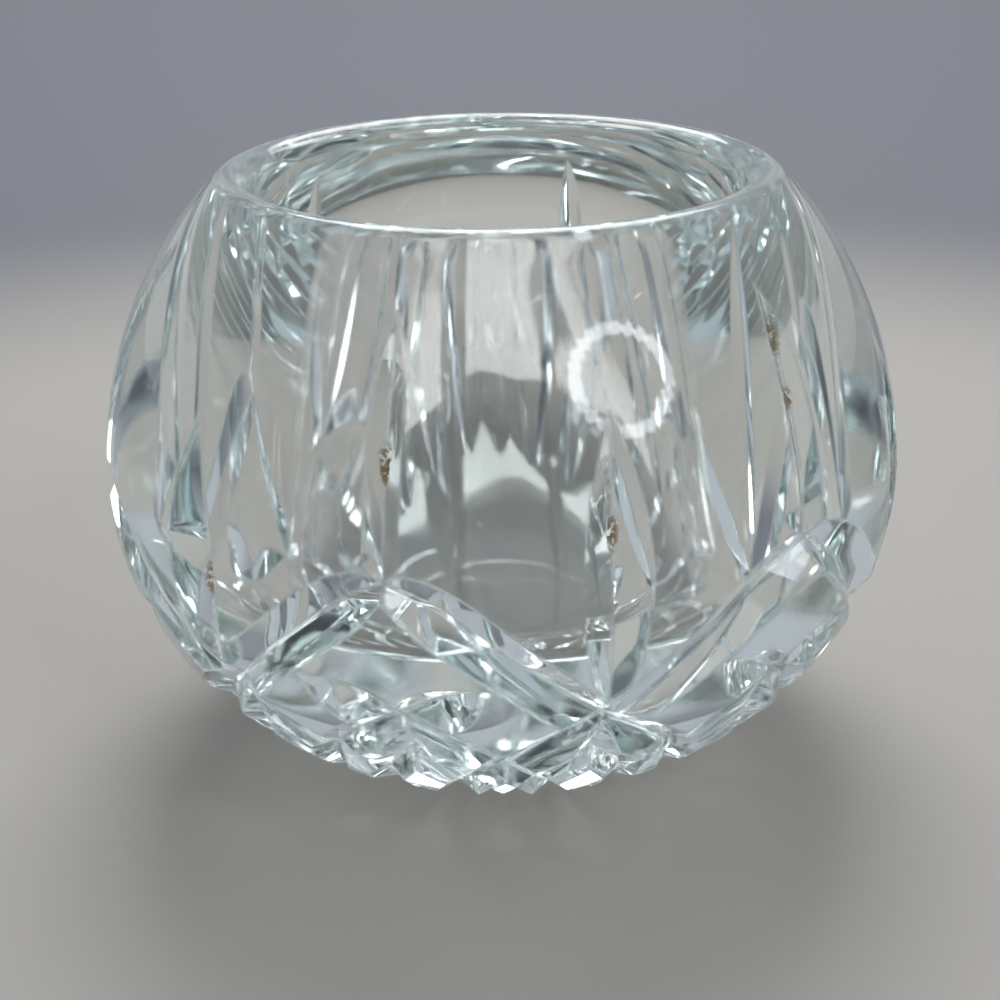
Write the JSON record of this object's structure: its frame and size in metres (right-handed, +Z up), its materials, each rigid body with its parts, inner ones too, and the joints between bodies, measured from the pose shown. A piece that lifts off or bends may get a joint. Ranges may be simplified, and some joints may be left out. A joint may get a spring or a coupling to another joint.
{
  "type": "votive candle holder",
  "caption": "Rounded thick clear glass bowl with a narrower mouth, cut outside with upright mitres, long spears and crossing slanted grooves, open at the top for a small candle.",
  "frame": {"origin": "centre of the flat foot, on the surface it rests on", "axes": "+Z up along the axis of the bowl, out of the mouth; -Y through one of the upright grooves"},
  "size_m": [0.0796, 0.0798, 0.058],
  "materials": {
    "clear_glass": "polished"
  },
  "bodies": {
    "root": {"glass_bowl": "clear_glass"}
  },
  "joints": []
}
